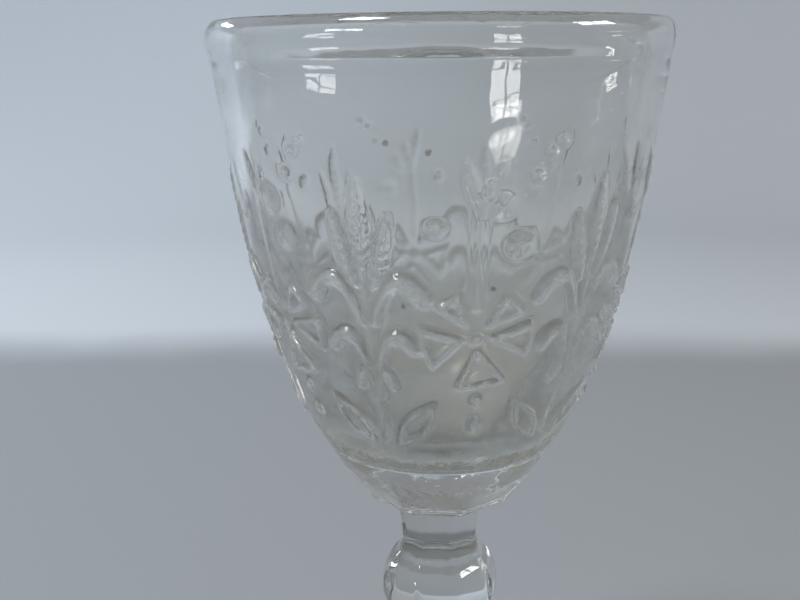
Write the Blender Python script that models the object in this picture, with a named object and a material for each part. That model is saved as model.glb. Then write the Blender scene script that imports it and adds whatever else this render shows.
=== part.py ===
"""Small pressed glass for liqueur: a bowl with moulded flowers and ferns, a panelled stem and a round foot."""

import bisect
import math

import bmesh
import bpy
from mathutils import Vector
from mathutils.geometry import delaunay_2d_cdt

# Driving sizes, in metres. The table is at zero and the axis of the glass is Z.
HEIGHT = 0.098
JOINT = 0.0003
AROUND = 72

LIP_RADIUS = 0.025
LIP_THICKNESS = 0.0026
LIP_CROWN = 0.00185
LIP_BAND = 0.00438
LIP_STEP = 0.00049

BOWL_HEIGHT = 0.0466
CONE_HEIGHT = 0.00958
CONE_TAPER = 0.00151
WALL_FOOT_RADIUS = 0.01298
WALL_FOOT_SLOPE = math.radians(34.5)
WALL_FULLNESS = 0.271
WALL_THICKNESS = 0.0026
FLOOR_EDGE_RADIUS = 0.0093
FLOOR_EDGE_HEIGHT = 0.0041
FLOOR_CORNER_WIDTH = 0.0025
FLOOR_CORNER_HEIGHT = 0.0019

REPEATS = 6
PATTERN_TURN = math.radians(11.9)
PATTERN_STRETCH = math.radians(3.6)
RELIEF_START = 0.0088
FLOWER_RUN = 0.0263
FLOWER_TURN = math.radians(-1.7)
PETAL_GAP = 0.0007
PETAL_RIM = 0.0004
PETAL_FLOOR = 0.0007
PETAL_RISE = 0.0006
FERN_TIP_RUN = 0.0104
FERN_BLADE = 0.0101
FERN_HALF_WIDTH = 0.0011
FERN_RISE = 0.0005
SIDE_BLADE_RUN = 0.0215
STALK_HALF_WIDTH = 0.0003
STALK_RISE = 0.0003
STALK_END_RUN = 0.0396
LEAF_RUN = 0.0399
LEAF_RISE = 0.0005
BEAD_RISE = 0.00045
CLEARANCE = 0.0005

# The pattern's drawing is measured in this unit, across from a motif's axis and up from its run.
UNIT = 0.001
# Lean from straight up and half spread of each petal in degrees, and its length.
PETALS = ((46, 19, 4.9), (97, 21, 5.5), (172, 23, 5.8), (254, 32, 4.7), (325, 17, 4.6))
RIM_FLATNESS = 0.51
# Turn from the flower's axis in degrees, run, half width and half height of each bead.
BEADS = (
    (3.0, 13.1, 1.6, 1.6),
    (7.7, 16.9, 1.6, 1.6),
    (-12, 15.2, 1.0, 1.0),
    (0, 33.9, 0.7, 0.9),
    (0, 36.9, 0.7, 1.1),
)
BERRY = 0.7
# Run, start, bend, end and half width of each frond.
FRONDS = (
    (24.3, (0.6, -0.8), (2.8, 6.8), (5.4, 1.9), 0.85),
    (29.9, (0.6, 0), (2.0, 5.6), (4.0, 2.2), 0.75),
    (33.0, (0.5, -0.7), (0.8, 4.8), (1.6, 0.8), 0.4),
)
SIDE_BLADE = ((0.8, 0), (2.8, 7.9), 0.85)
LEAF = ((1.0, 0), (5.6, 6.2), 1.25)

FACETS = 8
FACET_TURN = math.radians(18.8)
FACET_COLUMNS = 32
FACET_CRISPNESS = 80
BASE_HEIGHT = 0.0075
BASE_EDGE_RADIUS = 0.0085
BASE_SHOULDER = 0.0015
BASE_SWELL = 0.0003
BASE_FILLET = 0.0006
NECK_LENGTH = 0.0057
NECK_RADIUS = 0.00505
NECK_TAPER = 0.00055
NECK_FILLET = 0.0013
KNOP_LENGTH = 0.008
KNOP_RADIUS = 0.0071
KNOP_END_RADIUS = 0.0048
SHAFT_RADIUS = 0.0046
SHAFT_WAIST = 0.0003
SHAFT_FLARE_RADIUS = 0.0074
FOOT_RADIUS = 0.0225
FOOT_HEIGHT = 0.0083
FOOT_LEDGE = 0.0004
FOOT_EDGE = 0.0026
FOOT_ROUNDING = 0.001
FOOT_HOLLOW = 0.0014
FOOT_RING_RADIUS = 0.0165

# Places that follow from the driving sizes.
LIP_HEIGHT = HEIGHT - LIP_CROWN
SEAT = HEIGHT - BOWL_HEIGHT
WALL_TOP = (LIP_RADIUS - LIP_STEP, HEIGHT - LIP_BAND)
CONE_END = (WALL_TOP[0] - CONE_TAPER, WALL_TOP[1] - CONE_HEIGHT)
CONE_SLOPE = math.atan2(CONE_TAPER, CONE_HEIGHT)
BASE_TOP = SEAT - JOINT
NECK_TOP = BASE_TOP - BASE_HEIGHT - JOINT
KNOP_TOP = NECK_TOP - NECK_LENGTH - JOINT
SHAFT_TOP = KNOP_TOP - KNOP_LENGTH - JOINT
SHAFT_LENGTH = SHAFT_TOP - FOOT_HEIGHT - JOINT
HALF_REPEAT = math.pi / REPEATS


def around(radius, angle, height):
    """A point on the glass: angle zero faces the front, and it grows to the right."""
    return Vector((radius * math.sin(angle), -radius * math.cos(angle), height))


def along_bend(start, bend, end, part):
    """Place and direction on a curve that leaves start towards bend and arrives at end from it."""
    first = Vector(start).lerp(Vector(bend), part)
    second = Vector(bend).lerp(Vector(end), part)
    return first.lerp(second, part), (second - first).normalized()


def arc(start, slope, end, steps):
    """The arc that leaves start at a slope from the vertical and runs down and in to end."""
    across = start[0] - end[0]
    down = start[1] - end[1]
    turn = 2 * (math.atan2(across, down) - slope)
    radius = math.hypot(across, down) / (2 * math.sin(turn / 2))
    points = []
    for step in range(1, steps + 1):
        angle = slope + turn * step / steps
        across = radius * (math.cos(slope) - math.cos(angle))
        down = radius * (math.sin(angle) - math.sin(slope))
        points.append((start[0] - across, start[1] - down))
    return points, slope + turn


def outer_wall():
    """The wall's outline down from the lip: a straight cone, then a curve that bends in to the base."""
    foot = Vector((WALL_FOOT_RADIUS, SEAT))
    start = Vector(CONE_END)
    reach = WALL_FULLNESS * (start - foot).length
    leaving = start - reach * Vector((math.sin(CONE_SLOPE), math.cos(CONE_SLOPE)))
    arriving = foot + reach * Vector((math.sin(WALL_FOOT_SLOPE), math.cos(WALL_FOOT_SLOPE)))
    points = [Vector(WALL_TOP)]
    steps = 100
    for step in range(steps + 1):
        part = step / steps
        first, _ = along_bend(start, leaving, arriving, part)
        second, _ = along_bend(leaving, arriving, foot, part)
        points.append(first.lerp(second, part))
    runs = [0]
    for last, following in zip(points, points[1:]):
        runs.append(runs[-1] + (following - last).length)
    return points, runs


WALL_POINTS, WALL_RUNS = outer_wall()
WALL_RUN = WALL_RUNS[-1]


def wall_at(run):
    """Radius, height and slope of the outer wall, this far down it from the lip's step."""
    upper = min(max(bisect.bisect_right(WALL_RUNS, run) - 1, 0), len(WALL_RUNS) - 2)
    first, second = WALL_POINTS[upper:upper + 2]
    part = (run - WALL_RUNS[upper]) / (WALL_RUNS[upper + 1] - WALL_RUNS[upper])
    radius, height = first.lerp(second, part)
    return radius, height, math.atan2(first.x - second.x, first.y - second.y)


def glass(name, colour):
    """Clear soda glass with a faint tint."""
    material = bpy.data.materials.new(name)
    material.use_nodes = True
    shader = material.node_tree.nodes["Principled BSDF"]
    shader.inputs["Base Color"].default_value = (*colour, 1)
    shader.inputs["Roughness"].default_value = 0.06
    shader.inputs["Metallic"].default_value = 0
    shader.inputs["IOR"].default_value = 1.52
    return material


def add_object(name, bm, colour, sharp):
    bmesh.ops.remove_doubles(bm, verts=bm.verts, dist=0.000002)
    bmesh.ops.recalc_face_normals(bm, faces=bm.faces)
    mesh = bpy.data.meshes.new(name)
    bm.to_mesh(mesh)
    bm.free()
    mesh.shade_smooth()
    mesh.set_sharp_from_angle(angle=math.radians(sharp))
    piece = bpy.data.objects.new(name, mesh)
    piece.data.materials.append(glass(name + "_glass", colour))
    bpy.context.scene.collection.objects.link(piece)
    return piece


def join(bm, rings):
    """Faces between each ring of points and the next."""
    count = len(rings[0])
    for upper, lower in zip(rings, rings[1:]):
        for left in range(count):
            right = (left + 1) % count
            corners = [upper[left], upper[right], lower[right], lower[left]]
            bm.faces.new(list(dict.fromkeys(corners)))


def skin(bm, profile):
    """A turned surface. A radius of zero closes to a point."""
    rings = []
    for radius, height in profile:
        if radius == 0:
            rings.append([bm.verts.new((0, 0, height))] * AROUND)
            continue
        angles = [PATTERN_TURN + math.tau * step / AROUND for step in range(AROUND)]
        rings.append([bm.verts.new(around(radius, angle, height)) for angle in angles])
    join(bm, rings)


def panel(angle):
    """The share of the radius that soft flat panels leave at this angle."""
    total = 0
    for facet in range(FACETS):
        facing = math.cos(angle - FACET_TURN - math.tau * (facet + 0.5) / FACETS)
        total += max(facing, 0) ** FACET_CRISPNESS
    return math.cos(math.pi / FACETS) / total ** (1 / FACET_CRISPNESS)


def panelled(name, profile, colour):
    """A solid pressed element. Each ring has a radius, a height and a flatness, zero where it is round."""
    bm = bmesh.new()
    rings = []
    for radius, height, flatness in profile:
        ring = []
        for step in range(FACET_COLUMNS):
            angle = FACET_TURN + math.tau * step / FACET_COLUMNS
            share = 1 + (panel(angle) - 1) * flatness
            ring.append(bm.verts.new(around(radius * share, angle, height)))
        rings.append(ring)
    join(bm, rings)
    bm.faces.new(rings[0])
    bm.faces.new(rings[-1])
    return add_object(name, bm, colour, 15)


class Relief:
    """One repeat of the pattern, laid out flat as it is cut into the mould, with a rise for each point."""

    def __init__(self):
        self.points = []
        self.rises = []
        self.edges = []
        self.outlines = []

    def place(self, axis, run, across, up):
        """Sheet place of a point of a motif that sits on this axis, this far down the wall."""
        run -= up
        return Vector(((axis + across / wall_at(run)[0]) * WALL_FOOT_RADIUS, run))

    def line(self, points, rises, closed=False):
        first = len(self.points)
        self.points += points
        self.rises += rises
        self.edges += [(first + i, first + i + 1) for i in range(len(points) - 1)]
        if closed:
            self.edges.append((first + len(points) - 1, first))

    def loop(self, axis, run, outline, rise):
        points = [self.place(axis, run, across, up) for across, up in outline]
        self.line(points, [rise] * len(points), closed=True)
        if rise == 0:
            self.outlines.append(points)

    def ridge(self, axis, run, spine, rises):
        self.line([self.place(axis, run, across, up) for across, up in spine], rises)

    def petal(self, lean, spread, length):
        """A wedge with a raised rim and a sunken middle; lean is its turn from straight up."""
        for inset, rise in ((0, 0), (PETAL_RIM, PETAL_RISE), (PETAL_FLOOR, PETAL_RISE * 0.3)):
            apex = PETAL_GAP + inset / math.sin(spread)
            reach = length - inset - apex
            wedge = [(0, apex)]
            for part in (-1, -0.5, 0, 0.5, 1):
                side = reach / math.sqrt(1 - RIM_FLATNESS * math.sin(part * spread) ** 2)
                wedge.append((side * math.sin(part * spread), apex + side * math.cos(part * spread)))
            outline = []
            for across, up in wedge:
                turned = across * math.cos(lean) + up * math.sin(lean)
                outline.append((turned, up * math.cos(lean) - across * math.sin(lean)))
            self.loop(FLOWER_TURN, FLOWER_RUN, outline, rise)

    def bead(self, axis, run, width, height):
        """A half-round berry."""
        for part, level, count in ((1, 0, 10), (0.72, 0.7, 8)):
            angles = [math.tau * step / count for step in range(count)]
            outline = [(width * part * math.cos(a), height * part * math.sin(a)) for a in angles]
            self.loop(axis, run, outline, BEAD_RISE * level)
        self.ridge(axis, run, [(0, 0)], [BEAD_RISE])

    def spindle(self, start, end, half_width, trim):
        """Outline of a pointed leaf from start to end, drawn in to this share of its size."""
        along = end - start
        side = Vector((-along.y, along.x)).normalized() * half_width
        left = []
        right = []
        for part in (0.18, 0.5, 0.8):
            middle = start + along * (0.5 + (part - 0.5) * trim)
            swell = side * math.sin(math.pi * part ** 0.85) * trim
            left.append(middle + swell)
            right.insert(0, middle - swell)
        ends = [start + along * (0.5 + half * trim) for half in (-0.5, 0.5)]
        return [ends[0], *left, ends[1], *right]

    def blade(self, axis, run, start, end, half_width):
        """A pointed leaf with a ridge along its middle."""
        self.loop(axis, run, self.spindle(start, end, half_width, 1), 0)
        spine = [start.lerp(end, part) for part in (0.2, 0.5, 0.8)]
        self.ridge(axis, run, spine, [FERN_RISE * level for level in (0.8, 1, 0.7)])

    def leaf(self, axis, run, start, end, half_width):
        """A pointed leaf with a raised edge and a sunken middle."""
        for trim, rise in ((1, 0), (0.72, LEAF_RISE), (0.36, LEAF_RISE * 0.35)):
            self.loop(axis, run, self.spindle(start, end, half_width, trim), rise)

    def frond(self, axis, run, start, bend, end, half_width):
        """A leaflet that rises from the stalk, bends over and ends in a round head."""
        middles = []
        left = []
        right = []
        for part, width in ((0.12, 0.4), (0.4, 0.6), (0.68, 0.9), (0.9, 0.85)):
            middle, along = along_bend(start, bend, end, part)
            side = Vector((-along.y, along.x)) * half_width * width
            middles.append(middle)
            left.append(middle + side)
            right.insert(0, middle - side)
        self.loop(axis, run, [start, *left, end, *right], 0)
        self.ridge(axis, run, middles, [LEAF_RISE * level for level in (0.6, 0.85, 1.1, 1)])

    def fern_side(self, mirror):
        """The half of a fern that lies along one edge of the sheet."""
        axis = -mirror * HALF_REPEAT
        blade = [(FERN_TIP_RUN, 0, 0)]
        for part, width, level in ((0.3, 0.75, 0.75), (0.58, 1, 1), (0.82, 0.7, 0.8)):
            blade.append((FERN_TIP_RUN + FERN_BLADE * part, FERN_HALF_WIDTH * width, FERN_RISE * level))
        stalk = FERN_TIP_RUN + FERN_BLADE
        steps = 8
        for step in range(steps):
            run = stalk + (STALK_END_RUN - stalk) * step / steps
            blade.append((run, STALK_HALF_WIDTH, STALK_RISE))
        blade.append((STALK_END_RUN, 0, 0))
        runs = [(RELIEF_START, 0)] + [(run, rise) for run, _, rise in blade]
        runs += [((STALK_END_RUN + WALL_RUN) / 2, 0), (WALL_RUN, 0)]
        edge = [self.place(axis, run, 0, 0) for run, _ in runs]
        self.line(edge, [rise for _, rise in runs])
        side = [self.place(axis, run, mirror * width, 0) for run, width, _ in blade]
        self.line(side, [0] * len(side))
        self.outlines.append(side + [self.place(axis, STALK_END_RUN, 0, 0)])

        def drawn(point):
            return Vector((mirror * point[0], point[1])) * UNIT

        start, end, half_width = SIDE_BLADE
        self.blade(axis, SIDE_BLADE_RUN, drawn(start), drawn(end), half_width * UNIT)
        start, end, half_width = LEAF
        self.leaf(axis, LEAF_RUN, drawn(start), drawn(end), half_width * UNIT)
        for run, start, bend, end, half_width in FRONDS:
            self.frond(axis, run * UNIT, drawn(start), drawn(bend), drawn(end), half_width * UNIT)

    def ground(self):
        """Edges of the sheet, and points that keep the plain ground round when the sheet is wrapped."""
        columns = AROUND // REPEATS
        step = 2 * HALF_REPEAT / columns
        for run in (RELIEF_START, WALL_RUN):
            places = [self.place(-HALF_REPEAT + step * i, run, 0, 0) for i in range(columns + 1)]
            self.line(places, [0] * len(places))
        rows = 15
        for row in range(1, rows):
            run = RELIEF_START + (WALL_RUN - RELIEF_START) * row / rows
            for column in range(columns):
                angle = -HALF_REPEAT + step * (column + (0.5 if row % 2 else 1))
                point = self.place(angle, run, 0, 0)
                inner = abs(angle) < HALF_REPEAT - step * 0.4
                if inner and all(self.clear(point, outline) for outline in self.outlines):
                    self.line([point], [0])

    def clear(self, point, outline):
        """True when the point is outside the outline and a little away from it."""
        crossings = 0
        for a, b in zip(outline, outline[1:] + outline[:1]):
            if (a.y > point.y) != (b.y > point.y):
                crossings += point.x < a.x + (b.x - a.x) * (point.y - a.y) / (b.y - a.y)
            along = b - a
            part = (point - a).dot(along) / max(along.length_squared, 1e-12)
            if (a + along * min(max(part, 0), 1) - point).length < CLEARANCE:
                return False
        return crossings % 2 == 0

    def wrap(self, bm):
        """The sheet cut into triangles and wrapped round the wall once for each repeat."""
        flat, _, faces, origins, _, _ = delaunay_2d_cdt(self.points, self.edges, [], 0, 0.000001)
        rises = [max([self.rises[i] for i in made_from], default=0) for made_from in origins]
        for repeat in range(REPEATS):
            axis = PATTERN_TURN + 2 * HALF_REPEAT * repeat
            corners = []
            for place, rise in zip(flat, rises):
                radius, height, slope = wall_at(place.y)
                radius += rise * math.cos(slope)
                height -= rise * math.sin(slope)
                corners.append(bm.verts.new(around(radius, axis + place.x / WALL_FOOT_RADIUS, height)))
            for face in faces:
                bm.faces.new([corners[i] for i in face])


def lip_and_cavity():
    """Profile from the top of the pattern up over the lip, then down inside to the middle of the floor."""
    profile = [wall_at(RELIEF_START)[:2]]
    steps = 3
    for step in range(steps):
        part = step / steps
        radius = WALL_TOP[0] + LIP_STEP * math.sin(math.pi / 2 * part)
        profile.append((radius, WALL_TOP[1] + (LIP_HEIGHT - WALL_TOP[1]) * part))
    crown = LIP_RADIUS - LIP_THICKNESS / 2
    for step in range(9):
        angle = math.pi * step / 8
        radius = crown + LIP_THICKNESS / 2 * math.cos(angle)
        profile.append((radius, LIP_HEIGHT + LIP_CROWN * math.sin(angle)))
    inner_top = profile[-1]
    inner_end = (CONE_END[0] - WALL_THICKNESS, CONE_END[1])
    slope = math.atan2(inner_top[0] - inner_end[0], inner_top[1] - inner_end[1])
    edge = (FLOOR_EDGE_RADIUS, SEAT + FLOOR_EDGE_HEIGHT)
    corner = (edge[0] - FLOOR_CORNER_WIDTH, edge[1] - FLOOR_CORNER_HEIGHT)
    inside, slope = arc(inner_end, slope, edge, 8)
    bend, slope = arc(edge, slope, corner, 3)
    drop = corner[0] * (1 - math.sin(slope)) / math.cos(slope)
    floor, _ = arc(corner, slope, (0, corner[1] - drop), 3)
    return profile + [inner_end] + inside + bend + floor[:-1] + [(0, corner[1] - drop)]


def make_bowl():
    """The cup with its lip, cavity, flat seat and moulded pattern, pressed as one piece."""
    relief = Relief()
    for side in (1, -1):
        relief.fern_side(side)
    for lean, spread, length in PETALS:
        relief.petal(math.radians(lean), math.radians(spread), length * UNIT)
    relief.bead(FLOWER_TURN, FLOWER_RUN, BERRY * UNIT, BERRY * UNIT)
    for turn, run, width, height in BEADS:
        relief.bead(math.radians(turn), run * UNIT, width * UNIT, height * UNIT)
    relief.ground()

    bm = bmesh.new()
    relief.wrap(bm)
    skin(bm, lip_and_cavity())
    skin(bm, [(WALL_FOOT_RADIUS, SEAT), (0, SEAT)])
    # The mould's parts share the girth unequally: the repeats are wider at the front and narrower behind.
    for corner in bm.verts:
        angle = math.atan2(corner.co.x, -corner.co.y)
        angle += PATTERN_STRETCH * math.sin(angle - PATTERN_TURN)
        corner.co = around(math.hypot(corner.co.x, corner.co.y), angle, corner.co.z)
    return add_object("bowl", bm, (0.80, 0.85, 0.84), 35)


def make_base():
    """The thick clear end of the bowl, round at its top and eight-sided below, that curves in to the stem."""
    bottom = BASE_TOP - BASE_HEIGHT
    edge = bottom + BASE_SHOULDER
    profile = []
    steps = 6
    for step in range(steps + 1):
        part = step / steps
        swell = 4 * BASE_SWELL * part * (1 - part)
        radius = WALL_FOOT_RADIUS + (BASE_EDGE_RADIUS - WALL_FOOT_RADIUS) * part + swell
        profile.append((radius, BASE_TOP + (edge - BASE_TOP) * part, part))
    profile.append((NECK_RADIUS + BASE_FILLET, bottom, 1))
    return panelled("bowl_base", profile, (0.84, 0.88, 0.90))


def make_neck():
    """The short panelled column between the bowl and the knop, with a small fillet at its foot."""
    bottom = NECK_TOP - NECK_LENGTH
    waist = (NECK_RADIUS - NECK_TAPER, bottom + NECK_FILLET)
    profile = [(NECK_RADIUS, NECK_TOP, 1), (*waist, 0.8)]
    steps = 4
    for step in range(1, steps + 1):
        part = step / steps
        radius = waist[0] + (KNOP_END_RADIUS - waist[0]) * (1 - math.cos(math.pi / 2 * part))
        profile.append((radius, waist[1] - NECK_FILLET * math.sin(math.pi / 2 * part), 0.8 - 0.4 * part))
    return panelled("stem_neck", profile, (0.83, 0.87, 0.89))


def make_knop():
    """The swollen knop, round like a ball, with the panels faint on it."""
    cut = math.acos(KNOP_END_RADIUS / KNOP_RADIUS)
    half = KNOP_LENGTH / 2
    profile = []
    steps = 10
    for step in range(steps + 1):
        angle = cut * (1 - 2 * step / steps)
        height = KNOP_TOP - half + half * math.sin(angle) / math.sin(cut)
        profile.append((KNOP_RADIUS * math.cos(angle), height, 0.4))
    return panelled("stem_knop", profile, (0.82, 0.86, 0.88))


def make_shaft():
    """The lower stem, slim at the top and flared where it meets the foot."""
    profile = []
    steps = 8
    for step in range(steps + 1):
        part = step / steps
        flare = (SHAFT_FLARE_RADIUS - SHAFT_RADIUS) * part ** 5
        radius = SHAFT_RADIUS + flare - SHAFT_WAIST * math.sin(math.pi * part)
        profile.append((radius, SHAFT_TOP - SHAFT_LENGTH * part, 1 - part ** 5))
    return panelled("stem_shaft", profile, (0.83, 0.87, 0.89))


def make_foot():
    """The round foot: a low dome above, and a hollow underneath inside a flat ring that rests on a table."""
    boss = SHAFT_FLARE_RADIUS + FOOT_LEDGE
    rim = FOOT_RADIUS - FOOT_ROUNDING
    profile = [(0, FOOT_HEIGHT), (boss, FOOT_HEIGHT)]
    for step in range(1, 9):
        part = step / 8
        height = FOOT_EDGE + (FOOT_HEIGHT - FOOT_EDGE) * (1 - part) ** 2.2
        profile.append((boss + (rim - boss) * part, height))
    for step in range(1, 7):
        angle = math.pi / 2 - math.pi * step / 6
        profile.append((rim + FOOT_ROUNDING * math.cos(angle), FOOT_EDGE / 2 * (1 + math.sin(angle))))
    profile.append((FOOT_RING_RADIUS, 0))
    for part in (0.85, 0.6, 0.3, 0):
        profile.append((FOOT_RING_RADIUS * part, FOOT_HOLLOW * (1 - part * part)))
    bm = bmesh.new()
    skin(bm, profile)
    return add_object("foot", bm, (0.82, 0.87, 0.88), 35)


for old in list(bpy.data.objects):
    bpy.data.objects.remove(old)
make_bowl()
make_base()
make_neck()
make_knop()
make_shaft()
make_foot()
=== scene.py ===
import math

import bpy
import numpy as np
from mathutils import Matrix, Vector


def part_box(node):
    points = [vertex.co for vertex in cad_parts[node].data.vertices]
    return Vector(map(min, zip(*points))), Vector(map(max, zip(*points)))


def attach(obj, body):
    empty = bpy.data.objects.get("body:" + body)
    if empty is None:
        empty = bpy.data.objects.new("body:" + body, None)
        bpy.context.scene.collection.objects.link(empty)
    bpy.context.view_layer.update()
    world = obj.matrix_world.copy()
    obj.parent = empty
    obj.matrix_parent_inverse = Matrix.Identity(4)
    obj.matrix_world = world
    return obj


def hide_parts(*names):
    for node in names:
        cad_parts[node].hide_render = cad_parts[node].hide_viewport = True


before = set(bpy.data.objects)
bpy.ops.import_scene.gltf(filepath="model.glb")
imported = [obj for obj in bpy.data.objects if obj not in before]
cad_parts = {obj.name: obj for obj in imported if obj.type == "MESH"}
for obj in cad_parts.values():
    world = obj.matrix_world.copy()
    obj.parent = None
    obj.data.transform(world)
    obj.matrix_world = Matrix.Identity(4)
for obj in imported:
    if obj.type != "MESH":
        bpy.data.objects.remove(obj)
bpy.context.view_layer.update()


# The foot is a round disc of clear pressed glass, drawn up in the middle to meet the stem.
# Its underside is a shallow hollow, so that only a flat ring touches the table.
# That ring is scuffed by use.
foot_low, foot_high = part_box("foot")
shaft_low, shaft_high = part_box("stem_shaft")
foot_radius = foot_high.x
foot_joint = (foot_high.z + shaft_low.z) / 2
foot_boss = shaft_high.x + 0.0004
foot_edge = 0.0026
foot_round = 0.001
foot_hollow = 0.0014
foot_ring = 0.0165
foot_ring_edge = 0.019
foot_sweep = 2.2
scuff_height = 0.0002


def turned(name, profile, steps):
    """Spins a line of (radius, height) points about the axis, as a round mould shapes glass."""
    bpy.ops.object.select_all(action="DESELECT")
    bpy.ops.mesh.primitive_circle_add(vertices=3, radius=0.001)
    piece = bpy.context.object
    piece.name = piece.data.name = name
    bpy.ops.object.mode_set(mode="EDIT")
    bpy.ops.mesh.select_all(action="SELECT")
    bpy.ops.mesh.merge(type="CENTER")
    bpy.ops.transform.translate(value=(profile[0][0], 0, profile[0][1]))
    for last, following in zip(profile, profile[1:]):
        step = (following[0] - last[0], 0, following[1] - last[1])
        bpy.ops.mesh.extrude_vertices_move(TRANSFORM_OT_translate={"value": step})
    bpy.ops.mesh.select_all(action="SELECT")
    bpy.ops.mesh.spin(steps=steps, angle=math.tau, center=(0, 0, 0), axis=(0, 0, 1))
    bpy.ops.mesh.select_all(action="SELECT")
    bpy.ops.mesh.remove_doubles(threshold=0.000004)
    bpy.ops.mesh.normals_make_consistent(inside=False)
    bpy.ops.object.mode_set(mode="OBJECT")
    bpy.ops.object.shade_smooth()
    return piece


def points_of(piece):
    """The piece's points as rows of an array."""
    places = np.empty(len(piece.data.vertices) * 3)
    piece.data.vertices.foreach_get("co", places)
    return places.reshape(-1, 3)


def put_points(piece, places):
    """Moves the piece's points to these rows."""
    piece.data.vertices.foreach_set("co", places.ravel())
    piece.data.update()


class Tone:
    """A value in a glass finish. Sums written with it become nodes of that finish."""

    def __init__(self, tree, socket=None):
        self.tree = tree
        self.socket = socket

    def node(self, kind, settings, sockets, output=0):
        made = self.tree.nodes.new(kind)
        for name, value in settings.items():
            setattr(made, name, value)
        for name, value in sockets.items():
            if isinstance(value, Tone):
                self.tree.links.new(value.socket, made.inputs[name])
            elif isinstance(value, tuple):
                made.inputs[name].default_value = (*value, 1)
            else:
                made.inputs[name].default_value = value
        return Tone(self.tree, made.outputs[output])

    def sum(self, operation, first, second):
        return self.node("ShaderNodeMath", {"operation": operation}, {0: first, 1: second})

    def __add__(self, other):
        return self.sum("ADD", self, other)

    def __sub__(self, other):
        return self.sum("SUBTRACT", self, other)

    def __mul__(self, other):
        return self.sum("MULTIPLY", self, other)

    def __rsub__(self, other):
        return self.sum("SUBTRACT", other, self)

    __radd__ = __add__
    __rmul__ = __mul__

    def most(self, other):
        """The larger of two values."""
        return self.sum("MAXIMUM", self, other)

    def between(self, low, high):
        """Zero below low, one above high, and smooth between."""
        sockets = {"Value": self, "From Min": low, "From Max": high}
        return self.node("ShaderNodeMapRange", {"interpolation_type": "SMOOTHSTEP"}, sockets)

    def part(self, axis):
        """One of the three lengths of a place."""
        return self.node("ShaderNodeSeparateXYZ", {}, {0: self}, axis)

    def noise(self, scale, detail=2, rough=0.5):
        sockets = {"Vector": self, "Scale": scale, "Detail": detail, "Roughness": rough}
        return self.node("ShaderNodeTexNoise", {}, sockets)

    def mixed(self, first, second):
        """From the first colour to the second as this value goes from zero to one."""
        return self.node("ShaderNodeMix", {"data_type": "RGBA"}, {0: self, 6: first, 7: second}, 2)


def finish(name):
    """A new finish, and the place on the piece that its patterns read."""
    material = bpy.data.materials.new(name)
    material.use_nodes = True
    tree = material.node_tree
    place = Tone(tree).node("ShaderNodeTexCoord", {}, {}, "Object")
    return material, place


def glass_finish(colour, roughness, bump, depth):
    """Clear glass: colour and roughness vary over it, and bump is the unevenness of the surface."""
    tree = colour.tree
    shader = tree.nodes["Principled BSDF"]
    tree.links.new(colour.socket, shader.inputs["Base Color"])
    tree.links.new(roughness.socket, shader.inputs["Roughness"])
    shader.inputs["Transmission Weight"].default_value = 1
    shader.inputs["IOR"].default_value = 1.5
    uneven = colour.node("ShaderNodeBump", {}, {"Height": bump, "Distance": depth, "Strength": 1.0})
    tree.links.new(uneven.socket, shader.inputs["Normal"])


# Hot glass runs together where two elements meet, so a joint shows no face of its own.
fused = bpy.data.materials.new("fused_joint")
fused.use_nodes = True
fused.node_tree.nodes["Principled BSDF"].inputs["Alpha"].default_value = 0


def fuse(piece, height, radius):
    """Gives the flat faces at this height, out to this radius, the look of a fused joint."""
    piece.data.materials.append(fused)
    for face in piece.data.polygons:
        middle = face.center
        if abs(middle.z - height) < 0.00001 and math.hypot(middle.x, middle.y) < radius:
            face.material_index = len(piece.data.materials) - 1


foot_profile = []
for step in range(15):
    part = step / 14
    foot_profile.append((foot_ring * part, foot_hollow * (1 - part * part)))
foot_profile.append((foot_ring_edge, 0))
for step in range(15):
    turn = -math.pi / 2 + math.pi * step / 14
    radius = foot_radius - foot_round + foot_round * math.cos(turn)
    foot_profile.append((radius, foot_edge / 2 * (1 + math.sin(turn))))
for step in range(1, 33):
    part = 1 - step / 32
    radius = foot_boss + (foot_radius - foot_round - foot_boss) * part
    foot_profile.append((radius, foot_edge + (foot_joint - foot_edge) * (1 - part) ** foot_sweep))
foot_profile.append((0, foot_joint))
foot = turned("foot_disc", foot_profile, 160)
foot_glass, place = finish("foot_glass")
scuffed = 1 - place.part(2).between(0.00003, scuff_height)
foot_tint = place.noise(60).mixed((0.95, 0.95, 0.93), (0.90, 0.915, 0.89))
foot_roughness = scuffed * place.noise(2600, 3) * 0.35 + 0.008
glass_finish(foot_tint, foot_roughness, place.noise(140, 2), 0.00008)
foot.data.materials.append(foot_glass)
fuse(foot, foot_joint, foot_boss)
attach(foot, "root")
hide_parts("foot")


# The lower stem is a slim panelled column of the same glass, flared at its end to run into the foot.
# It is pressed in a mould with flat panels, and the fire softens their corners.
knop_low, knop_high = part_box("stem_knop")
shaft_joint = (shaft_high.z + knop_low.z) / 2
shaft_radius = 0.0046
shaft_waist = 0.0003
shaft_round_end = 0.004
panels = 8
panel_turn = math.radians(18.8)


def panelled(piece, softness, share):
    """Presses a turned piece into panels: share gives, for each height, how flat they are there."""
    places = points_of(piece)
    angle = np.arctan2(places[:, 0], -places[:, 1]) - panel_turn
    total = 0
    for panel in range(panels):
        facing = np.cos(angle - math.tau * (panel + 0.5) / panels)
        total = total + np.maximum(facing, 0) ** softness
    flat = math.cos(math.pi / panels) / total ** (1 / softness)
    scale = 1 + (flat - 1) * share(places[:, 2])
    places[:, 0] *= scale
    places[:, 1] *= scale
    put_points(piece, places)


def smooth(low, high, value):
    """Zero at low, one at high, and an easy rise between."""
    part = np.clip((value - low) / (high - low), 0, 1)
    return part * part * (3 - 2 * part)


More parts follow.
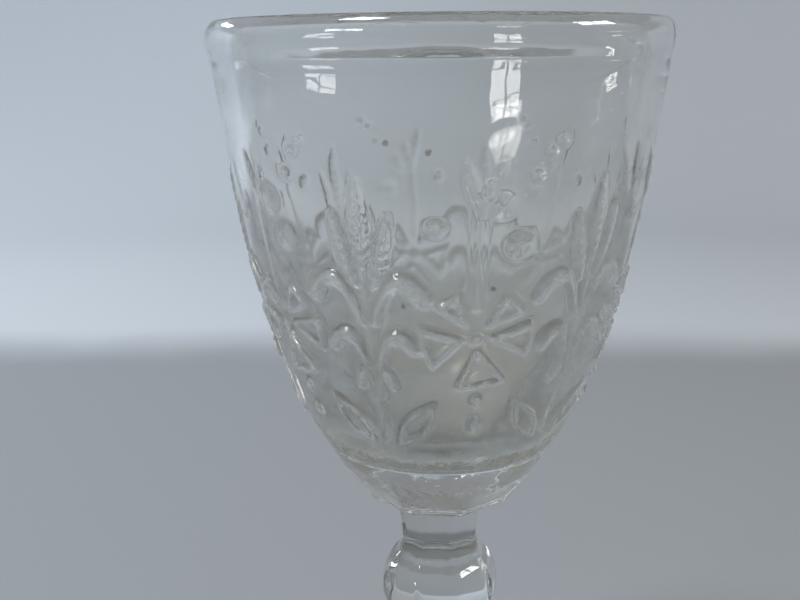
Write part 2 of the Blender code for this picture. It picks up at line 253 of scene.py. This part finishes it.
shaft_profile = [(0, foot_joint)]
for step in range(41):
    part = 1 - step / 40
    flare = (foot_boss - shaft_radius) * part ** 5
    radius = shaft_radius + flare - shaft_waist * math.sin(math.pi * part)
    shaft_profile.append((radius, shaft_joint + (foot_joint - shaft_joint) * part))
shaft_profile.append((0, shaft_joint))
shaft = turned("lower_stem", shaft_profile, 160)
panelled(shaft, 90, lambda height: smooth(foot_joint, foot_joint + shaft_round_end, height))


def stem_tint(place):
    """The faint grey of thick stem glass, a little uneven."""
    return place.noise(90).mixed((0.90, 0.90, 0.88), (0.85, 0.86, 0.84))


stem_glass, place = finish("stem_glass")
glass_finish(stem_tint(place), place.noise(500, 3) * 0.02 + 0.003, place.noise(160, 2), 0.00008)
shaft.data.materials.append(stem_glass)
fuse(shaft, foot_joint, 1)
fuse(shaft, shaft_joint, 1)
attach(shaft, "root")
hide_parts("stem_shaft")


# The knop is a swollen ball of the same stem glass, with the panels only faint on it.
# It is pressed between the same mould parts, which close in above and below it.
neck_low, neck_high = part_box("stem_neck")
knop_joint = (knop_high.z + neck_low.z) / 2
knop_radius = 0.0071
knop_end = 0.0048
knop_flatness = 0.65
crease_shade_colour = (0.17, 0.155, 0.115)
knop_middle = (knop_joint + shaft_joint) / 2
knop_cut = math.acos(knop_end / knop_radius)
knop_profile = [(0, shaft_joint)]
for step in range(49):
    turn = knop_cut * (step / 24 - 1)
    height = knop_middle + (knop_joint - knop_middle) * math.sin(turn) / math.sin(knop_cut)
    knop_profile.append((knop_radius * math.cos(turn), height))
knop_profile.append((0, knop_joint))
knop = turned("knop", knop_profile, 160)
panelled(knop, 60, lambda height: knop_flatness)
crease_glass, place = finish("crease_glass")
# Painted shade: dark rings laid on the neck just above its crease with the knop, and on the knop just
# below it.
over = place.part(2) - knop_joint + (place.noise(900, 3) - 0.5) * 0.0007
neck_crease_shade = over.between(0, 0.0003) * (1 - over.between(0.0011, 0.0016))
knop_crease_shade = over.between(-0.0013, -0.001) * (1 - over.between(-0.0006, -0.0003))
glass_finish(stem_tint(place), neck_crease_shade * 0.1 + 0.01, place.noise(160, 2), 0.00008)


def coat(material, cover, colour):
    """Lays a dull coat over a glass finish, as dense as cover: dried film and wear on the bowl, painted
    shade by the stem's crease.
    """
    tree = material.node_tree
    crust = cover.node("ShaderNodeBsdfPrincipled", {}, {"Base Color": colour, "Roughness": 0.7})
    clean = Tone(tree, tree.nodes["Principled BSDF"].outputs[0])
    coated = cover.node("ShaderNodeMixShader", {}, {0: cover, 1: clean, 2: crust})
    tree.links.new(coated.socket, tree.nodes["Material Output"].inputs["Surface"])


coat(crease_glass, neck_crease_shade * 0.5 + knop_crease_shade * 0.3, crease_shade_colour)
knop.data.materials.append(crease_glass)
fuse(knop, shaft_joint, 1)
fuse(knop, knop_joint, 1)
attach(knop, "root")
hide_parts("stem_knop")


# The neck is the short panelled column between knop and bowl, with a small round fillet at its foot.
# It is pressed in one with them, and the mould leaves a crease where the fillet meets the knop.
base_low, base_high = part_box("bowl_base")
neck_joint = (neck_high.z + base_low.z) / 2
neck_radius = 0.00505
neck_waist = 0.0045
neck_fillet = 0.0013
neck_flatness = 0.9
fillet_flatness = 0.4
fillet_top = knop_joint + neck_fillet
neck_profile = [(0, knop_joint)]
for step in range(17):
    turn = math.pi / 2 * (1 - step / 16)
    radius = neck_waist + (knop_end - neck_waist) * (1 - math.cos(turn))
    neck_profile.append((radius, knop_joint + neck_fillet * (1 - math.sin(turn))))
for step in range(1, 17):
    part = step / 16
    radius = neck_waist + (neck_radius - neck_waist) * part
    neck_profile.append((radius, fillet_top + (neck_joint - fillet_top) * part))
neck_profile.append((0, neck_joint))
neck = turned("neck", neck_profile, 160)


def neck_share(height):
    """How flat the neck's panels are: soft on the fillet, nearly full above it."""
    rise = smooth(knop_joint, knop_joint + neck_fillet * 2, height)
    return fillet_flatness + (neck_flatness - fillet_flatness) * rise


panelled(neck, 60, neck_share)
neck.data.materials.append(crease_glass)
fuse(neck, knop_joint, 1)
fuse(neck, neck_joint, 1)
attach(neck, "root")
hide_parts("stem_neck")


# The base is the thick clear end of the bowl: round where it meets the patterned wall, eight-sided below.
# It comes out of the base plate of the mould, so it carries no pattern, and it curves in to the neck.
bowl_low, bowl_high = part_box("bowl")
base_joint = (bowl_low.z + base_high.z) / 2
base_radius = base_high.x
base_edge_radius = 0.0085
base_shoulder = 0.0016
base_bulge = 0.0012
base_bend = neck_joint + base_shoulder
base_profile = [(0, neck_joint)]
for step in range(17):
    part = step / 16
    radius = neck_radius + (base_edge_radius - neck_radius) * (1 - (1 - part) ** 1.6)
    base_profile.append((radius, neck_joint + base_shoulder * part ** 1.8))
for step in range(1, 29):
    part = step / 28
    radius = base_edge_radius + (base_radius - base_edge_radius) * part + base_bulge * part * (1 - part)
    base_profile.append((radius, base_bend + (base_joint - base_bend) * part))
base_profile.append((0, base_joint))
base = turned("faceted_base", base_profile, 240)
panelled(base, 80, lambda height: 1 - smooth(base_bend, base_joint, height))
base_glass, place = finish("base_glass")
base_tint = place.noise(80).mixed((0.96, 0.955, 0.94), (0.92, 0.925, 0.905))
swirl = {"Vector": place, "Scale": 120, "Detail": 2, "Distortion": 3}
base_wave = place.noise(150, 2) + place.node("ShaderNodeTexNoise", {}, swirl) * 0.5
glass_finish(base_tint, place.noise(400, 3) * 0.02 + 0.003, base_wave, 0.00025)
base.data.materials.append(base_glass)
fuse(base, neck_joint, 1)
fuse(base, base_joint, 1)
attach(base, "root")
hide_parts("bowl_base")


# The bowl is pressed glass with a thick wall and a rolled lip.
# Its pattern of flowers, ferns and berries is cut into the mould and stands proud outside.
# The plunger leaves the inside smooth, and a film of old sweetness has dried on it low down.
around = 520
repeats = 6
pattern_turn = math.radians(11.9)
pattern_stretch = math.radians(3.6)
lip_radius = bowl_high.x
lip_top = bowl_high.z
lip_thickness = 0.0026
lip_crown = 0.00185
lip_step = 0.00049
lip_depth = 0.00438
lip_level = lip_top - lip_crown
cone_narrowing = 0.00151
cone_depth = 0.00958
wall_top = (lip_radius - lip_step, lip_top - lip_depth)
cone_end = (wall_top[0] - cone_narrowing, wall_top[1] - cone_depth)
wall_foot = (base_radius, base_joint)
wall_foot_slope = math.radians(34.5)
wall_fullness = 0.271
wall_thickness = 0.0026
floor_edge = (0.0093, base_joint + 0.0042)
floor_corner = (0.0068, base_joint + 0.0023)
relief_start = 0.0058
relief_end = 0.0402
relief_row = 0.0006
petal_gap = 0.0007
petal_rise = 0.0006
blade_rise = 0.00035
leaf_rise = 0.0005
frond_rise = 0.00055
sprig_rise = 0.0002
stalk_rise = 0.0003


def bent(start, slope, end, end_slope, fullness, steps):
    """Points of a curve from start to end that leaves and arrives at these slopes from the vertical."""
    start = np.array(start)
    end = np.array(end)
    reach = fullness * np.linalg.norm(start - end)
    leaving = start - reach * np.array((math.sin(slope), math.cos(slope)))
    arriving = end + reach * np.array((math.sin(end_slope), math.cos(end_slope)))
    part = np.linspace(0, 1, steps + 1)[:, None]
    rest = 1 - part
    first_half = rest ** 3 * start + 3 * rest ** 2 * part * leaving
    return first_half + 3 * rest * part ** 2 * arriving + part ** 3 * end


def inner_arc(start, slope, end, steps):
    """An arc that leaves start at a slope from the vertical and runs down and in to end."""
    across = start[0] - end[0]
    down = start[1] - end[1]
    turn = 2 * (math.atan2(across, down) - slope)
    radius = math.hypot(across, down) / (2 * math.sin(turn / 2))
    line = []
    for step in range(1, steps + 1):
        angle = slope + turn * step / steps
        across = radius * (math.cos(slope) - math.cos(angle))
        line.append((start[0] - across, start[1] - radius * (math.sin(angle) - math.sin(slope))))
    return line, slope + turn


cone_slope = math.atan2(wall_top[0] - cone_end[0], wall_top[1] - cone_end[1])
wall_curve = bent(cone_end, cone_slope, wall_foot, wall_foot_slope, wall_fullness, 200)
wall_line = np.vstack([wall_top, wall_curve])
wall_step = np.diff(wall_line, axis=0)
wall_runs = np.concatenate([[0], np.cumsum(np.hypot(wall_step[:, 0], wall_step[:, 1]))])
wall_slopes = np.arctan2(-wall_step[:, 0], -wall_step[:, 1])
pattern_runs = np.linspace(relief_start + relief_row, relief_end, 141)
plain_runs = np.linspace(relief_end, wall_runs[-1], 7)[1:]
relief_runs = np.concatenate([[relief_start], pattern_runs, plain_runs])
relief_rows = len(relief_runs) - 1
row_radius = np.interp(relief_runs, wall_runs, wall_line[:, 0])
row_height = np.interp(relief_runs, wall_runs, wall_line[:, 1])
row_slope = np.interp(relief_runs, (wall_runs[1:] + wall_runs[:-1]) / 2, wall_slopes)
bowl_profile = [(0, base_joint), (base_radius * 0.5, base_joint)]
bowl_profile += [(float(r), float(z)) for r, z in zip(row_radius[::-1], row_height[::-1])]
bowl_profile.append(wall_top)
for step in range(1, 5):
    part = step / 5
    radius = wall_top[0] + lip_step * math.sin(math.pi / 2 * part)
    bowl_profile.append((radius, wall_top[1] + (lip_level - wall_top[1]) * part))
for step in range(17):
    turn = math.pi * step / 16
    radius = lip_radius - lip_thickness / 2 * (1 - math.cos(turn))
    bowl_profile.append((radius, lip_level + lip_crown * math.sin(turn)))
inner_top = bowl_profile[-1]
inner_end = (cone_end[0] - wall_thickness, cone_end[1])
inner_slope = math.atan2(inner_top[0] - inner_end[0], inner_top[1] - inner_end[1])
bowl_profile.append(inner_end)
inside, edge_slope = inner_arc(inner_end, inner_slope, floor_edge, 10)
corner, corner_slope = inner_arc(floor_edge, edge_slope, floor_corner, 4)
drop = floor_corner[0] * (1 - math.sin(corner_slope)) / math.cos(corner_slope)
floor, _ = inner_arc(floor_corner, corner_slope, (0, floor_corner[1] - drop), 4)
bowl_profile += inside + corner + floor[:-1] + [(0, floor_corner[1] - drop)]
bowl = turned("pressed_bowl", bowl_profile, around)

column_angle = math.tau * np.arange(around) / around - pattern_turn
half_repeat = math.pi / repeats
angle = (column_angle + half_repeat) % (2 * half_repeat) - half_repeat
angle = np.broadcast_to(angle, (relief_rows + 1, around))
run = np.broadcast_to(relief_runs[:, None], angle.shape)
girth = np.broadcast_to(row_radius[:, None], angle.shape)


def petal(across, up, lean, spread, length):
    """A wedge with a raised rounded rim and a sunken middle."""
    sideways = across * math.cos(lean) - up * math.sin(lean)
    outward = across * math.sin(lean) + up * math.cos(lean)
    side = (outward - petal_gap) * math.sin(spread) - np.abs(sideways) * math.cos(spread)
    rim = length - np.hypot(sideways * 0.7, outward)
    inset = np.minimum(side, rim)
    return petal_rise * (smooth(0, 0.0004, inset) - 0.75 * smooth(0.00045, 0.0008, inset))


def berry(across, up, width, height, rise):
    """A soft round berry."""
    spread = (across / width) ** 2 + (up / height) ** 2
    return 1.2 * rise * np.clip(1 - spread, 0, 1) ** 2


def along_leaf(across, up, start, end):
    """Places along and aside of a leaf's middle line, and its length."""
    length = math.hypot(end[0] - start[0], end[1] - start[1])
    along_x = (end[0] - start[0]) / length
    along_y = (end[1] - start[1]) / length
    along = (across - start[0]) * along_x + (up - start[1]) * along_y
    aside = (up - start[1]) * along_x - (across - start[0]) * along_y
    return along, np.abs(aside), length


def blade(across, up, start, end, half_width):
    """A fern blade: a spindle with fine slanting ribs on both sides of its middle."""
    along, aside, length = along_leaf(across, up, start, end)
    part = np.clip(along / length, 0, 1)
    width = half_width * np.sin(math.pi * part ** 0.85) + 1e-9
    within = np.clip(1 - (aside / width) ** 2, 0, 1) * (along > 0) * (along < length)
    rib = 1 + 0.2 * np.sin((along - 0.9 * aside) * math.tau / 0.0011)
    return blade_rise * within * rib


def outlined_leaf(across, up, start, end, half_width):
    """A pointed leaf with a raised edge, a sunken middle and a fine middle rib."""
    along, aside, length = along_leaf(across, up, start, end)
    part = np.clip(along / length, 0, 1)
    inset = half_width * np.sin(math.pi * part ** 0.9) - aside
    edge = smooth(0, 0.0004, inset) - 0.75 * smooth(0.00045, 0.0009, inset)
    rib = 0.35 * smooth(0.0003, 0.0001, aside) * (inset > 0.0004)
    return leaf_rise * np.maximum(edge, rib) * (along > 0) * (along < length)


def ridge(across, half_width, rise):
    """A low rounded stalk."""
    return rise * np.clip(1 - (across / half_width) ** 2, 0, 1)


def frond(across, up, start, bend, end, half_width):
    """A leaflet that rises from the stalk, bends over and ends in a round head."""
    best = np.full(across.shape, 1.0)
    for step in range(33):
        part = step / 32
        x = (1 - part) ** 2 * start[0] + 2 * part * (1 - part) * bend[0] + part ** 2 * end[0]
        y = (1 - part) ** 2 * start[1] + 2 * part * (1 - part) * bend[1] + part ** 2 * end[1]
        width = half_width * (0.35 + 0.65 * smooth(0.1, 0.75, part))
        best = np.minimum(best, np.hypot(across - x, up - y) / width)
    return frond_rise * np.clip(1 - best ** 2, 0, 1)


flower_run = 0.0263
flower_turn = math.radians(-1.7)
petals = ((46, 22, 0.0051), (97, 24, 0.0057), (172, 28, 0.0061), (254, 34, 0.0051), (325, 20, 0.0049))
across = (angle - flower_turn) * girth
rises = [berry(across, flower_run + 0.0004 - run, 0.0009, 0.0009, 0.0005)]
for lean, spread, length in petals:
    rises.append(petal(across, flower_run - run, math.radians(lean), math.radians(spread), length))
across = angle * girth
sprig = across + math.radians(2.0) * girth
rises.append(ridge(sprig, 0.0006, sprig_rise) * (run > 0.0125) * (run < 0.0236))
rises.append(blade(sprig, 0.0136 - run, (0, 0), (-0.0014, 0.0052), 0.0006))
rises.append(blade(sprig, 0.0142 - run, (0.0001, 0), (0.0010, 0.0040), 0.0005))
for turn, level, size in ((3.0, 0.0131, 0.0018), (7.7, 0.0169, 0.0018)):
    rises.append(berry(across - math.radians(turn) * girth, level - run, size, size, 0.00025))
rises.append(berry(across + math.radians(12) * girth, 0.0152 - run, 0.0011, 0.0011, 0.0004))
for turn, level, size in ((16.3, 0.0071, 0.00055), (13.8, 0.0081, 0.0006), (10.9, 0.0103, 0.00065)):
    rises.append(berry(across - math.radians(turn) * girth, level - run, size, size, 0.0004))
for level, height in ((0.0339, 0.0012), (0.0369, 0.0014)):
    rises.append(berry(across, level - run, 0.0009, height, 0.00045))
for side in (1, -1):
    aside = (angle * side + half_repeat) * girth
    rises.append(blade(aside, 0.0205 - run, (0, 0), (0, 0.0101), 0.0012))
    rises.append(blade(aside, 0.0215 - run, (0.0008, 0), (0.0028, 0.0079), 0.0010))
    rises.append(frond(aside, 0.0243 - run, (0.0006, -0.0008), (0.0028, 0.0068), (0.0054, 0.0019), 0.001))
    rises.append(frond(aside, 0.0299 - run, (0.0006, 0), (0.0020, 0.0056), (0.0040, 0.0022), 0.0009))
    rises.append(frond(aside, 0.0330 - run, (0.0005, -0.0007), (0.0008, 0.0048), (0.0016, 0.0008), 0.0006))
    rises.append(outlined_leaf(aside, 0.0399 - run, (0.0010, 0), (0.0056, 0.0062), 0.0014))
    rises.append(ridge(aside, 0.0004, stalk_rise) * (run > 0.019) * (run < 0.0396))


def softened(relief):
    """The relief with its edges eased, as they are when hot glass does not quite fill the mould."""
    wide = np.roll(relief, 1, 1) + 2 * relief + np.roll(relief, -1, 1)
    tall = np.pad(wide / 4, ((1, 1), (0, 0)), mode="edge")
    return (tall[:-2] + 2 * tall[1:-1] + tall[2:]) / 4


raised = softened(np.maximum.reduce(rises))
raised[0] = raised[-1] = 0
places = points_of(bowl)
spread = np.hypot(places[:, 0], places[:, 1])
row = np.rint(np.interp(-places[:, 2], -row_height, np.arange(relief_rows + 1))).astype(int)
turn = np.arctan2(places[:, 0], -places[:, 1])
column = np.rint(turn / math.tau * around).astype(int) % around
outside = (np.abs(spread - row_radius[row]) < 0.00002) & (np.abs(places[:, 2] - row_height[row]) < 0.00002)
rise = np.where(outside, raised[row, column], 0)
turn += pattern_stretch * np.sin(turn - pattern_turn)
spread += rise * np.cos(row_slope[row])
places[:, 0] = spread * np.sin(turn)
places[:, 1] = -spread * np.cos(turn)
places[:, 2] -= rise * np.sin(row_slope[row])
put_points(bowl, places)


def mark(name, values):
    """Keeps a value for each point of the pattern, from zero to one."""
    marks = bowl.data.attributes.new(name, "FLOAT", "POINT")
    marks.data.foreach_set("value", np.where(outside, values[row, column], 0).astype(np.float32))


blurred = raised
for easing in range(10):
    blurred = softened(blurred)
downhill = np.gradient(raised, relief_runs, axis=0)
sidehill = np.gradient(raised, axis=1) * around / (math.tau * girth)
mark("hollow", np.clip((blurred - raised) / 0.0002, 0, 1))
mark("crest", np.clip((raised - blurred) / 0.00016, 0, 1))
# Painted shade: the upper flanks of the relief, and a little of its sides, are marked for darkening.
mark("flank_shade", np.clip(0.9 * np.maximum(downhill, 0) + 0.25 * np.abs(sidehill), 0, 1))


def marked(place, name):
    """The value that mark kept."""
    return place.node("ShaderNodeAttribute", {"attribute_name": name}, {}, "Fac")


def bowl_tint(place):
    """The faint grey of the bowl's glass, a little uneven."""
    return place.noise(70).mixed((0.93, 0.93, 0.915), (0.90, 0.90, 0.88))


def patches(place):
    """Where a dried film is thicker."""
    return (place.noise(160, 5, 0.65) * 0.6 + place.noise(1100, 2) * 0.4).between(0.32, 0.68)


bowl_glass, place = finish("bowl_glass")
height = place.part(2)
hollow = marked(place, "hollow")
# Painted shade: the glass is tinted darker on the relief's upper flanks, less so high up on the wall.
painted_flank_shade = marked(place, "flank_shade").between(0.05, 0.9) * (1 - height.between(0.062, 0.08) * 0.85)
tint = (hollow * 0.35).mixed(bowl_tint(place), (0.72, 0.67, 0.58))
tint = painted_flank_shade.mixed(tint, (0.46, 0.44, 0.38))
roughness = hollow * 0.12 + place.noise(600, 3) * 0.012 + 0.003
even = 1 - height.between(0.089, 0.093)
washed = 1 - height.between(base_joint + 0.0025, base_joint + 0.006)
bump = (place.noise(110, 2) + place.noise(420, 3) * 0.1) * even + washed * place.noise(260, 3) * 2
glass_finish(tint, roughness, bump, 0.0001)
patchy = patches(place)
film_colour = patchy.mixed((0.40, 0.395, 0.31), (0.56, 0.56, 0.46))
worn = marked(place, "crest") * (place.noise(700, 2) * 0.5 + 0.05)
worn_colour = (0.74, 0.76, 0.76)
coat(bowl_glass, washed * (patchy * 0.25 + 0.22) + worn, washed.mixed(worn_colour, film_colour))
bowl.data.materials.append(bowl_glass)
fuse(bowl, base_joint, base_radius - 0.00001)

# Inside, the dried film grows denser towards the bottom, and a few brown specks sit on it.
inside_glass, place = finish("bowl_inside")
height = place.part(2)
low_down = 1 - height.between(0.054, 0.093)
roughness = low_down * 0.2 + place.noise(500, 3) * 0.015 + 0.003
glass_finish(bowl_tint(place), roughness, place.noise(120, 2), 0.0001)
film = low_down * (patches(place) * 0.12 + 0.08) + (1 - height.between(0.0515, 0.0635)) * 0.12
speck = place.noise(330, 1).between(0.775, 0.80)
inner_line = np.array([inner_top, inner_end] + inside + corner + floor[:-1])[::-1]
spots = ((-13, 0.0866, 0.0004), (-3, 0.0857, 0.0004), (-11.4, 0.0707, 0.0004), (16.5, 0.0724, 0.0003))
ragged = place.noise(1300, 3, 0.7) * 0.0014 - 0.0007
for turn, level, size in spots:
    reach = np.interp(level, inner_line[:, 1], inner_line[:, 0])
    spot = Vector((reach * math.sin(math.radians(turn)), -reach * math.cos(math.radians(turn)), level))
    away = place.node("ShaderNodeVectorMath", {"operation": "DISTANCE"}, {0: place, 1: spot}, "Value")
    speck = speck.most(1 - (away + ragged).between(size * 0.3, size * 1.2))
bottom = 1 - height.between(0.0535, 0.066)
film_colour = bottom.mixed((0.70, 0.71, 0.64), (0.46, 0.455, 0.35))
speck_colour = (0.34, 0.20, 0.08)
coat(inside_glass, film.most(speck * 0.6), speck.mixed(film_colour, speck_colour))
bowl.data.materials.append(inside_glass)
inside_slot = len(bowl.data.materials) - 1
for face in bowl.data.polygons:
    middle = face.center
    reach = np.interp(middle.z, inner_line[:, 1], inner_line[:, 0]) + 0.0008
    if base_joint + 0.0005 < middle.z < inner_top[1] and math.hypot(middle.x, middle.y) < reach:
        face.material_index = inside_slot
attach(bowl, "root")
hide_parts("bowl")


# The glass stands on a pale grey-blue cloth that rises behind it in one soft sweep.
# The cloth's colour has painted light: lighter further off, where it starts to turn up, and lighter on the
# left than on the right.
cloth_level = -0.00005
cloth_flat = 0.5
cloth_sweep = 0.25
cloth_top = 0.32
table_profile = [(0, cloth_level), (0.1, cloth_level), (0.25, cloth_level), (cloth_flat, cloth_level)]
for step in range(1, 13):
    turn = math.pi / 2 * step / 12
    height = cloth_level + cloth_sweep * (1 - math.cos(turn))
    table_profile.append((cloth_flat + cloth_sweep * math.sin(turn), height))
table_profile.append((cloth_flat + cloth_sweep, cloth_level + cloth_top))
table = turned("table_cloth", table_profile, 96)
bpy.ops.object.select_all(action="DESELECT")
table.select_set(True)
bpy.context.view_layer.objects.active = table
bpy.ops.object.mode_set(mode="EDIT")
bpy.ops.mesh.select_all(action="SELECT")
bpy.ops.mesh.flip_normals()
bpy.ops.object.mode_set(mode="OBJECT")
cloth, place = finish("table_cloth")
shader = cloth.node_tree.nodes["Principled BSDF"]
# Painted light: the cloth is coloured lighter further back and towards the left.
painted_far_light = (place.part(1) + place.noise(9, 3) * 0.05).between(0.235, 0.295)
aside = place.part(0).between(-0.18, 0.18)
near_colour = aside.mixed((0.305, 0.33, 0.365), (0.27, 0.285, 0.295))
far_colour = aside.mixed((0.57, 0.63, 0.70), (0.475, 0.505, 0.535))
cloth_colour = painted_far_light.mixed(near_colour, far_colour)
cloth.node_tree.links.new(cloth_colour.socket, shader.inputs["Base Color"])
shader.inputs["Roughness"].default_value = 0.9
shader.inputs["Specular IOR Level"].default_value = 0.1
table.data.materials.append(cloth)


# The light is a dim plain room with three windows and a softbox high up in front to the left.
# The windows stand in front to the left, to the right and behind, and mirror in the bowl.
world = bpy.data.worlds.new("room")
world.use_nodes = True
bpy.context.scene.world = world
room = Tone(world.node_tree)
up = room.node("ShaderNodeTexCoord", {}, {}, "Generated").part(2)
sky = up.between(0.5, 0.95).mixed((0.25, 0.26, 0.27), (0.3, 0.31, 0.32))
world.node_tree.links.new(sky.socket, world.node_tree.nodes["Background"].inputs["Color"])


def lamp(name, middle, direction, size, brightness):
    """A flat soft lamp that shines against this direction, of the same brightness at any size."""
    light = bpy.data.lights.new(name, "AREA")
    light.shape = "RECTANGLE"
    light.size = size[0]
    light.size_y = size[1]
    light.energy = brightness * math.pi * light.size * light.size_y
    holder = bpy.data.objects.new(name, light)
    bpy.context.scene.collection.objects.link(holder)
    facing = direction.to_track_quat("Z", "Y").to_matrix()
    holder.matrix_world = Matrix.Translation(middle) @ facing.to_4x4()


def window(name, bearing, elevation, distance, width, height, brightness):
    """A window of two by three panes, each a soft lamp, facing the glass."""
    level_reach = math.cos(elevation)
    ahead = -math.cos(bearing) * level_reach
    direction = Vector((math.sin(bearing) * level_reach, ahead, math.sin(elevation)))
    middle = Vector((0, 0, 0.085)) + direction * distance
    facing = direction.to_track_quat("Z", "Y").to_matrix()
    for column in range(2):
        for level in range(3):
            offset = Vector(((column - 0.5) * width / 2, (level - 1) * height / 3, 0))
            pane_size = (width / 2 * 0.86, height / 3 * 0.86)
            lamp(name, middle + facing @ offset, direction, pane_size, brightness)


window("left_window", math.radians(-44), math.radians(15.6), 0.65, 0.22, 0.068, 20)
window("right_window", math.radians(82), math.radians(29.5), 0.65, 0.24, 0.12, 26)
window("far_window", math.radians(-130), math.radians(21), 0.6, 0.16, 0.05, 24)
softbox_place = Vector((-0.43, -0.25, 1.05))
lamp("softbox", softbox_place, softbox_place, (0.26, 0.26), 34)


# The camera stands close in front, just under the level of the lip, and looks a little down.
# Light may cross many faces of clear glass before it reaches it.
camera = bpy.data.cameras.new("camera")
camera.lens = 50.8
camera.sensor_width = 36
camera.clip_start = 0.005
viewer = bpy.data.objects.new("camera", camera)
bpy.context.scene.collection.objects.link(viewer)
heading = Matrix.Rotation(math.radians(2.05), 4, "Z")
tilt = Matrix.Rotation(math.radians(90 - 12.245), 4, "X")
roll = Matrix.Rotation(math.radians(-0.47), 4, "Z")
viewer.matrix_world = Matrix.Translation((0, -0.125, lip_top - 0.0037)) @ heading @ tilt @ roll
bpy.context.scene.camera = viewer
bpy.context.scene.view_settings.view_transform = "Standard"
bpy.context.scene.cycles.max_bounces = 40
bpy.context.scene.cycles.transmission_bounces = 40
bpy.context.scene.cycles.glossy_bounces = 40
bpy.context.scene.cycles.transparent_max_bounces = 16
